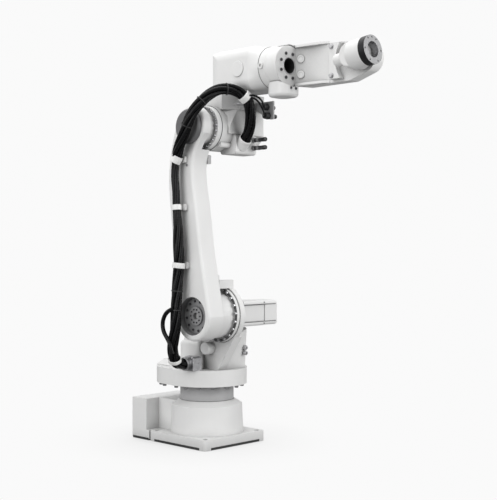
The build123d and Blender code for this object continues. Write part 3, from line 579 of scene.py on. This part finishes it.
# Socket in the side of the rotating front, with a rim
SOCKET = [
    (0.0052, -0.004), (0.0052, 0.0062), (0.0068, 0.0078),
    (0.0118, 0.0078), (0.0136, 0.006), (0.0136, -0.004),
]
socket_place = facing((0.401, -0.0815, A4.z), OUT)
bm = bmesh.new()
turned(bm, SOCKET, socket_place, 40)
piece("roll_side_socket", bm, mat_white, "wrist_roll", "white_paint")
bm = bmesh.new()
lathe(bm, [(0.0053, -0.004, 0), (0.0053, 0.0012, 0), (0.0046, 0.0012, 0)], socket_place)
piece("roll_side_hole", bm, mat_dark_seam_and_groove_shade, "wrist_roll", "black_rubber")

# Raised ring round the hollow of the end face, and a black lining of the hollow that paints its shade
bore_place = facing(end_face, FRONT)
bm = bmesh.new()
turned(bm, [(0.0312, 0), (0.0312, 0.0012), (0.0345, 0.0016), (0.0352, 0.0)], bore_place)
piece("forearm_bore_rim", bm, mat_zinc, "wrist_roll", "steel")
bm = bmesh.new()
turned(bm, [(0.0307, -0.0002), (0.0309, -0.0002), (0.0309, -0.088), (0.0307, -0.088)], bore_place)
piece("forearm_bore_painted_shade", bm, mat_rubber, "wrist_roll", "black_rubber")

# Ground lining of the flange's bore, and dark linings of its tapped holes and its dowel hole
TAPPED_R = 0.0033
DOWEL_R = 0.0029
flange_face = A5 + TOOL_DIR * FLANGE_OUT
bm = bmesh.new()
turned(
    bm,
    [(0.0309, -0.0004), (0.0303, -0.0004), (0.0290, -0.0285), (0.0309, -0.0285)],
    facing(flange_face, TOOL_DIR),
)
piece("flange_bore_lining", bm, mat_bolt, "tool", "steel")
bm = bmesh.new()
across = Vector((0, 1, 0))
raised = TOOL_DIR.cross(across)
for angle, r in [(60 * k, TAPPED_R) for k in range(6)] + [(90, DOWEL_R)]:
    way = across * math.cos(math.radians(angle)) + raised * math.sin(math.radians(angle))
    turned(
        bm,
        [(r, -0.0004), (r - 0.0004, -0.0004), (r - 0.0004, -0.0105), (0.0006, -0.0108), (r, -0.0115)],
        facing(flange_face + way * FLANGE_CIRCLE, TOOL_DIR), 20,
    )
piece("flange_hole_linings", bm, mat_dark_seam_and_groove_shade, "tool", "black_rubber")

# Two round bosses in the wrist arm's throat
BOSS_RISE = 0.031
BOSS_FACING = (0.47, -0.88, 0)
BOSS = [
    (0.0155, -0.006, 0), (0.0155, 0.0012, 0), (0.0140, 0.0024, 0), (0.0095, 0.0024, 0), (0.0085, 0.0012, 0),
]
bm = bmesh.new()
for rise in (BOSS_RISE, -BOSS_RISE):
    lathe(bm, BOSS, facing((0.4960, 0.0465, A4.z + rise), BOSS_FACING), 36)
piece("throat_bosses", bm, mat_white, "wrist_roll", "white_paint")

# Rims along the top and bottom of the wrist arm's throat
THROAT_FACE = [
    (0.4775, 0.0375), (0.485, 0.0462), (0.495, 0.0528), (0.510, 0.0575),
    (0.530, 0.0600), (0.560, 0.0612), (0.600, 0.0615), (0.634, 0.0615),
]
RIM_FRONT = [(0.636, 0.0590), (0.600, 0.0450), (0.560, 0.0375), (0.520, 0.0335), (0.4775, 0.0315)]
wrist_low, wrist_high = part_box("wrist_arm")
bm = bmesh.new()
prism(bm, THROAT_FACE + RIM_FRONT, wrist_high.z - 0.0105, wrist_high.z - 0.0015)
prism(bm, THROAT_FACE + RIM_FRONT, wrist_low.z + 0.002, wrist_low.z + 0.012)
piece("throat_rims", bm, mat_cast, "wrist_roll", "white_paint")

# Screws of the wrist block, the belly and the arm's face
BLOCK_SCREW_IN = 0.013
BLOCK_SCREW_RISE = 0.056
BELLY_SCREW_Y = 0.014
block_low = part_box("axis5_block")[0]
block_x = block_low.x + BLOCK_SCREW_IN
block_places = [(block_x, block_low.y, A4.z + rise) for rise in (BLOCK_SCREW_RISE, -BLOCK_SCREW_RISE)]
screws("wrist_block_screws", block_places, OUT, BLOCK_HEAD, "wrist_roll", hex_screw, mat_bright)
belly_low, belly_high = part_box("roll_belly")
belly_places = [(belly_high.x - 0.0005, y, belly_low.z + 0.032) for y in (-BELLY_SCREW_Y, BELLY_SCREW_Y)]
screws("belly_screws", belly_places, FRONT, BELLY_HEAD, "wrist_roll", cap_screw, mat_dark_steel)
arm_places = [(0.1175, arm_face, 1.176), (0.120, arm_face, 1.160)]
screws("arm_face_screws", arm_places, OUT, ARM_HEAD, "lower_arm")

# Two knobs on the front of the column
KNOB = [
    (0.0062, 0, 0), (0.0062, 0.012, 0), (0.0098, 0.012, 0), (0.0098, 0.026, 0), (0.0078, 0.0285, 0),
    (0.0045, 0.0285, 1), (0.0045, 0.022, 1),
]
bm = bmesh.new()
for place in ((0.1355, 0.076, 0.381), (0.1355, 0.076, 0.403)):
    lathe(bm, KNOB, facing(place, FRONT))
piece("column_test_ports", bm, mat_zinc, "turret", "steel")

# Nuts and caps of the two fittings at the elbow
FITTING_R = 0.0085
NUT_STEP = 0.024
CAP_OVERLAP = 0.0135
FITTING_CAP = [
    (0.0092, 0, 0), (0.0092, 0.014, 0), (0.0078, 0.0165, 0), (0.0040, 0.0165, 0), (0.0040, 0.010, 0),
]
fit_low, fit_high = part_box("elbow_fittings")
fit_y = (fit_low.y + fit_high.y) / 2
bm = bmesh.new()
caps = bmesh.new()
for z in (fit_low.z + FITTING_R, fit_high.z - FITTING_R):
    wide_nut = facing((fit_low.x, fit_y, z), FRONT)
    lathe(bm, [(0.0112, 0, 1), (0.0112, 0.009, 1), (0.0098, 0.011, 0)], wide_nut)
    slim_nut = facing((fit_low.x + NUT_STEP, fit_y, z), FRONT)
    lathe(bm, [(0.0104, 0, 1), (0.0104, 0.011, 1), (0.0092, 0.0125, 0)], slim_nut)
    lathe(caps, FITTING_CAP, facing((fit_high.x - CAP_OVERLAP, fit_y, z), FRONT))
piece("fitting_nuts", bm, mat_bolt, "elbow", "steel")
piece("fitting_caps", caps, mat_plastic, "elbow", "black_plastic")

# Nuts and grips of the two plugs on the connector plate
PLUGS = [(0.300, 1.404), (0.309, 1.367)]
GRIPS = (0.010, 0.0135, 0.017)   # how far each rib of the grip is from the plate
plug_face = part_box("connector_plate")[0].y
bm = bmesh.new()
for x, z in PLUGS:
    plug = facing((x, plug_face, z), OUT)
    lathe(bm, [(0.0158, 0, 1), (0.0158, 0.0055, 1), (0.0142, 0.0068, 0)], plug)
    for run in GRIPS:
        rib = [(0.0128, run), (0.0138, run + 0.0006), (0.0138, run + 0.002), (0.0128, run + 0.0026)]
        turned(bm, rib, plug, 32)
piece("connector_nuts", bm, mat_plastic, "elbow", "black_plastic")

# Cables: one twisted bundle along the routes of the CAD cables
CABLE_STRANDS = 5
STRAND_R = 0.0085
BUNDLE_R = 0.0145
TWIST = 9.0          # radians for each metre of bundle
LOWER_LOOP = [
    (0.062, -0.180, 0.350),
    (0.066, -0.212, 0.346),
    (0.072, -0.248, 0.366),
    (0.080, -0.266, 0.408),
    (0.092, -0.270, 0.458),
    (0.106, -0.272, 0.512),
    (0.108, -0.270, 0.566),
    (0.104, -0.266, 0.620),
    (0.106, -0.262, 0.672),
    (0.108, -0.258, 0.724),
]
ARM_RUN = [
    (0.110, -0.258, 0.780),
    (0.108, -0.257, 0.836),
    (0.105, -0.258, 0.892),
    (0.101, -0.258, 0.948),
    (0.096, -0.258, 1.004),
    (0.091, -0.257, 1.058),
    (0.087, -0.258, 1.110),
    (0.088, -0.258, 1.156),
    (0.098, -0.258, 1.200),
]
UPPER_LOOP = [
    (0.122, -0.266, 1.234),
    (0.152, -0.274, 1.268),
    (0.178, -0.278, 1.310),
    (0.202, -0.272, 1.356),
    (0.224, -0.252, 1.398),
    (0.244, -0.222, 1.432),
    (0.262, -0.184, 1.455),
    (0.284, -0.146, 1.460),
    (0.3012, -0.1164, 1.4526),
    (0.3097, -0.0948, 1.4395),
]
ELBOW_RUN = [
    (0.318, -0.070, 1.418),
    (0.318, -0.066, 1.402),
    (0.312, -0.052, 1.362),
    (0.300, -0.040, 1.320),
    (0.280, -0.032, 1.284),
    (0.253, -0.028, 1.262),
]
SPARE_LOOP = [
    (0.113, -0.2915, 0.582),
    (0.083, -0.2940, 0.572),
    (0.060, -0.2950, 0.546),
    (0.052, -0.2955, 0.516),
    (0.060, -0.2950, 0.484),
    (0.084, -0.2940, 0.458),
    (0.101, -0.2920, 0.430),
    (0.104, -0.2880, 0.400),
]
LEADS = [
    [
        (0.326, -0.0852, 1.4332),
        (0.344, -0.084, 1.435),
        (0.357, -0.068, 1.433),
        (0.352, -0.034, 1.424),
        (0.336, -0.002, 1.410),
        (0.312, 0.014, 1.404),
        (0.300, 0.026, 1.404),
        (0.300, 0.034, 1.404),
    ],
    [
        (0.330, -0.077, 1.4249),
        (0.350, -0.076, 1.426),
        (0.361, -0.058, 1.412),
        (0.352, -0.026, 1.390),
        (0.336, 0.002, 1.374),
        (0.318, 0.018, 1.367),
        (0.309, 0.028, 1.367),
        (0.309, 0.034, 1.367),
    ],
]
SPARE_R = 0.0087
LEAD_R = 0.004

# Stretch along the arm where the bundle lies flatter, by its height, and how it sets in and fades
FLAT_FROM = 0.82
FLAT_TO = 1.21
FLAT_RISE = 0.2
FLAT_FALL = 0.05
FLAT_SHARE = 0.45
FLAT_SIDE_Y = -0.2


def smooth_line(points, name):
    """Points along the smooth NURBS line of a route."""
    curve = bpy.data.curves.new(name, "CURVE")
    curve.dimensions = "3D"
    spline = curve.splines.new("NURBS")
    spline.points.add(len(points) - 1)
    for point, place in zip(spline.points, points):
        point.co = (*place, 1)
    spline.order_u = 3
    spline.use_endpoint_u = True
    spline.resolution_u = 10
    holder = bpy.data.objects.new(name, curve)
    scene.collection.objects.link(holder)
    mesh = bpy.data.meshes.new_from_object(holder)
    line = [v.co.copy() for v in mesh.vertices]
    bpy.data.objects.remove(holder)
    bpy.data.curves.remove(curve)
    bpy.data.meshes.remove(mesh)
    return line


def frames(line):
    """Direction and two crossways vectors at each point of a line, with no roll along it."""
    result = []
    side = Vector((1, 0, 0))
    for k in range(len(line)):
        along = (line[min(k + 1, len(line) - 1)] - line[max(k - 1, 0)]).normalized()
        side = (side - along * side.dot(along)).normalized()
        result.append((along, side, along.cross(side)))
    return result


def tube(bm, line, radius, steps=12):
    """Round tube along a line, with coordinates that run along it in turns of its own girth."""
    layer = bm.loops.layers.uv.verify()
    loops = []
    run = 0.0
    runs = []
    for k, (along, side, other) in enumerate(frames(line)):
        if k:
            run += (line[k] - line[k - 1]).length
        runs.append(run / radius)
        loops.append([
            bm.verts.new(line[k] + (side * math.cos(a) + other * math.sin(a)) * radius)
            for a in (2 * math.pi * s / steps for s in range(steps))
        ])
    for k, (low, high) in enumerate(zip(loops, loops[1:])):
        for s in range(steps):
            n = (s + 1) % steps
            face = bm.faces.new((low[s], low[n], high[n], high[s]))
            for corner, (u, v) in zip(face.loops, ((k, s), (k, s + 1), (k + 1, s + 1), (k + 1, s))):
                corner[layer].uv = (runs[u] * 0.6, v / steps * 4)
    bm.faces.new(list(reversed(loops[0])))
    bm.faces.new(loops[-1])


route = LOWER_LOOP + ARM_RUN + UPPER_LOOP + ELBOW_RUN
centre = smooth_line(route, "bundle_line")


def bundle_share(place):
    """How round the bundle is: it lies flatter along the upper part of the arm."""
    if not FLAT_FROM < place.z < FLAT_TO or place.y > FLAT_SIDE_Y:
        return 1.0
    rise = min(1.0, (place.z - FLAT_FROM) / FLAT_RISE, (FLAT_TO - place.z) / FLAT_FALL)
    return 1.0 - FLAT_SHARE * rise * rise * (3 - 2 * rise)


def strand_lines(line):
    """Lines of the twisted strands round the bundle's centre."""
    lines = [[] for _ in range(CABLE_STRANDS)]
    run = 0.0
    for k, (along, side, other) in enumerate(frames(line)):
        if k:
            run += (line[k] - line[k - 1]).length
        for s in range(CABLE_STRANDS):
            angle = TWIST * run + 2 * math.pi * s / CABLE_STRANDS
            offset = side * math.cos(angle) + other * math.sin(angle)
            lines[s].append(line[k] + offset * BUNDLE_R * bundle_share(line[k]))
    return lines


def nearest(line, place):
    """Number of the line's point that lies nearest to a place."""
    return min(range(len(line)), key=lambda k: (line[k] - Vector(place)).length)


inner_cuts = [nearest(centre, part[-1]) for part in (LOWER_LOOP, ARM_RUN, UPPER_LOOP)]
cuts = [0, *inner_cuts, len(centre) - 1]
strands = strand_lines(centre)
cable_parts = [
    ("cables_lower_loop", "cable_lower_loop", ("turret", "lower_arm")),
    ("cables_arm_run", "cable_arm_run", ("lower_arm",)),
    ("cables_upper_loop", "cable_upper_loop", ("lower_arm", "elbow")),
    ("cables_elbow_run", "cable_elbow_run", ("elbow",)),
]
for (name, node, bodies), start, end in zip(cable_parts, cuts, cuts[1:]):
    bm = bmesh.new()
    for strand in strands:
        tube(bm, strand[start:end + 1], STRAND_R)
    if name == "cables_lower_loop":
        tube(bm, smooth_line(SPARE_LOOP, "spare_line"), SPARE_R, 16)
    made = piece(name, bm, mat_cable, bodies[0] if len(bodies) == 1 else None, "cable_sheath", 60)
    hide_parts(node)
    if len(bodies) == 2:
        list(bodies)
        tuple(centre[start])
        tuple(centre[end])
        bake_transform(made)

bm = bmesh.new()
for lead in LEADS:
    tube(bm, smooth_line(lead, "lead_line"), LEAD_R)
made = piece("connector_lead_tubes", bm, mat_cable, "elbow", "cable_sheath", 60)
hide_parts("connector_leads")

# Level line to the front and the near side, round which a leaning band is turned
DIAGONAL = Vector((1, -1, 0)).normalized()
BAND_GAP = 0.0004


def band(bm, at, half_width, thick, lean=0.0):
    """A flat band round the bundle at a point of its centre line, with rounded edges."""
    inner = (BUNDLE_R * bundle_share(centre[at]) + STRAND_R + BAND_GAP) / math.cos(lean)
    along = frames(centre)[at][0]
    turn = Matrix.Translation(centre[at]) @ Matrix.Rotation(lean, 4, DIAGONAL) @ facing((0, 0, 0), along)
    outer = inner + thick
    lip = min(thick * 0.45, half_width * 0.5)
    turned(
        bm,
        [(inner, -half_width), (outer - lip, -half_width), (outer, lip - half_width),
         (outer, half_width - lip), (outer - lip, half_width), (inner, half_width)],
        turn, 48,
    )


# White straps that hold the bundle to the arm's clamps: height, half width and lean
STRAP_T = 0.0028
STRAPS = [(0.755, 0.011, -0.08), (0.990, 0.011, 0.0), (1.183, 0.015, -0.30)]
bm = bmesh.new()
for z, half_width, lean in STRAPS:
    at = min(range(cuts[1], cuts[2]), key=lambda k: abs(centre[k].z - z))
    band(bm, at, half_width, STRAP_T, lean)
piece("arm_straps", bm, mat_strap, "lower_arm", "white_paint")

# White strap above the gland
GLAND_STRAP_AT = (0.073, -0.250, 0.370)
bm = bmesh.new()
band(bm, nearest(centre, GLAND_STRAP_AT), half_width=0.008, thick=0.0024, lean=-0.35)
made = piece("gland_strap", bm, mat_strap, None, "white_paint")
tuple(centre[cuts[0]])
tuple(centre[cuts[1]])
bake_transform(made)

# White band of the elbow's clamp, and the plate that carries it
CLAMP_AT = (0.3135, -0.0845, 1.4300)
clamp_turn = nearest(centre, CLAMP_AT)
bm = bmesh.new()
band(bm, clamp_turn, half_width=0.0125, thick=0.0034)
made = piece("elbow_clamp_band", bm, mat_strap, "elbow", "white_paint")
pad_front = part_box("elbow_housing")[1].x
clamp_z = centre[clamp_turn].z
bm = bmesh.new()
prism(
    bm,
    [(pad_front, -0.040), (pad_front - 0.023, -0.082), (0.290, -0.098), (0.302, -0.074)],
    clamp_z - 0.026, clamp_z - 0.0215,
)
piece("elbow_clamp_arm", bm, mat_zinc, "elbow", "steel")
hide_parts("elbow_clamp")

# Thin ties along the loops
TIE_HALF = 0.0018
TIE_T = 0.0012
LOWER_TIES = [(0.108, -0.270, 0.575), (0.106, -0.264, 0.650)]
UPPER_TIES = [(0.178, -0.278, 1.310), (0.230, -0.244, 1.408), (0.278, -0.155, 1.458)]
bm = bmesh.new()
for place in LOWER_TIES:
    band(bm, nearest(centre, place), TIE_HALF, TIE_T)
made = piece("lower_loop_ties", bm, mat_tie, None, "black_plastic")
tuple(centre[cuts[0]])
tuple(centre[cuts[1]])
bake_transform(made)
bm = bmesh.new()
for place in UPPER_TIES:
    band(bm, nearest(centre, place), TIE_HALF, TIE_T)
made = piece("upper_loop_ties", bm, mat_tie, None, "black_plastic")
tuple(centre[cuts[2]])
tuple(centre[cuts[3]])
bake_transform(made)

# Gland nut at the bundle's lower end and collar nut at the elbow's entry
NUT = [
    (0.0238, -0.002), (0.0262, -0.002), (0.0275, 0.0),
    (0.0275, 0.012), (0.0255, 0.014), (0.0238, 0.014),
]
for name, at, way, body, material, slot in (
    ("gland_nut", cuts[0], 1, "turret", mat_bolt, "steel"),
    ("entry_nut", cuts[4], -1, "elbow", mat_white, "white_paint"),
):
    along = frames(centre)[at][0] * way
    bm = bmesh.new()
    turned(bm, NUT, facing(centre[at], along), 48)
    piece(name, bm, material, body, slot)

# White floor: it keeps the background's tone, with painted shade only close to what stands on it
BACKGROUND = 0.955
FLOOR_R = 60.0
FLOOR_GREY = 0.31    # what the floor sends back to the object
SHADE_REACH = 0.45
SHADES = [(0.0, 0.0), (0.3, 0.45), (0.62, 0.86), (1.0, BACKGROUND)]
floor_mesh = bpy.data.meshes.new("floor")
bm = bmesh.new()
bmesh.ops.create_circle(bm, cap_ends=True, segments=96, radius=FLOOR_R)
bm.to_mesh(floor_mesh)
bm.free()
floor = bpy.data.objects.new("floor", floor_mesh)
scene.collection.objects.link(floor)
g = Graph("floor_white")
g.tree.nodes.remove(g.shader)
diffuse = g.node("ShaderNodeBsdfDiffuse")
diffuse.inputs["Color"].default_value = (FLOOR_GREY, FLOOR_GREY, FLOOR_GREY, 1)
# Painted shade: to the camera the floor darkens where the object closes it in
hollow = g.node("ShaderNodeAmbientOcclusion", samples=16)
hollow.inputs["Distance"].default_value = SHADE_REACH
shade = g.ramp(hollow.outputs["AO"], [(where, (grey,) * 3) for where, grey in SHADES])
floor_painted_shade = g.node("ShaderNodeEmission")
g.link(shade, floor_painted_shade.inputs["Color"])
rays = g.node("ShaderNodeLightPath")
mix = g.node("ShaderNodeMixShader")
g.link(rays.outputs["Is Camera Ray"], mix.inputs[0])
g.link(diffuse.outputs[0], mix.inputs[1])
g.link(floor_painted_shade.outputs[0], mix.inputs[2])
g.link(mix.outputs[0], g.output.inputs["Surface"])
floor.data.materials.append(g.material)

# Lights: an even pale surround, a wide soft box overhead and one at each side of the camera
SURROUND = 0.26
LAMP_TARGET = (0.2, 0.0, 0.9)
world = bpy.data.worlds.new("surround")
scene.world = world
world.use_nodes = True
tree = world.node_tree
ground = tree.nodes["Background"]
ground.inputs["Color"].default_value = (1, 1, 1, 1)
ground.inputs["Strength"].default_value = SURROUND
show = tree.nodes.new("ShaderNodeBackground")
show.inputs["Color"].default_value = (BACKGROUND, BACKGROUND, BACKGROUND, 1)
rays = tree.nodes.new("ShaderNodeLightPath")
most = tree.nodes.new("ShaderNodeMath")
most.operation = "MAXIMUM"
tree.links.new(rays.outputs["Is Camera Ray"], most.inputs[0])
tree.links.new(rays.outputs["Is Glossy Ray"], most.inputs[1])
mixed = tree.nodes.new("ShaderNodeMixShader")
tree.links.new(most.outputs[0], mixed.inputs[0])
tree.links.new(ground.outputs[0], mixed.inputs[1])
tree.links.new(show.outputs[0], mixed.inputs[2])
tree.links.new(mixed.outputs[0], tree.nodes["World Output"].inputs["Surface"])


def softbox(name, place, size, power):
    """A rectangular area lamp that points at the object's middle."""
    data = bpy.data.lights.new(name, "AREA")
    data.shape = "RECTANGLE"
    data.size, data.size_y = size
    data.energy = power
    lamp = bpy.data.objects.new(name, data)
    lamp.location = place
    lamp.rotation_mode = "QUATERNION"
    lamp.rotation_quaternion = (Vector(LAMP_TARGET) - Vector(place)).to_track_quat("-Z", "Y")
    scene.collection.objects.link(lamp)


softbox("overhead", (0.2, -0.3, 4.6), (4.2, 4.2), 125)
softbox("left", (0.5, -5.0, 2.0), (4.4, 3.6), 152)
softbox("right", (5.0, 1.6, 1.8), (3.2, 3.2), 158)
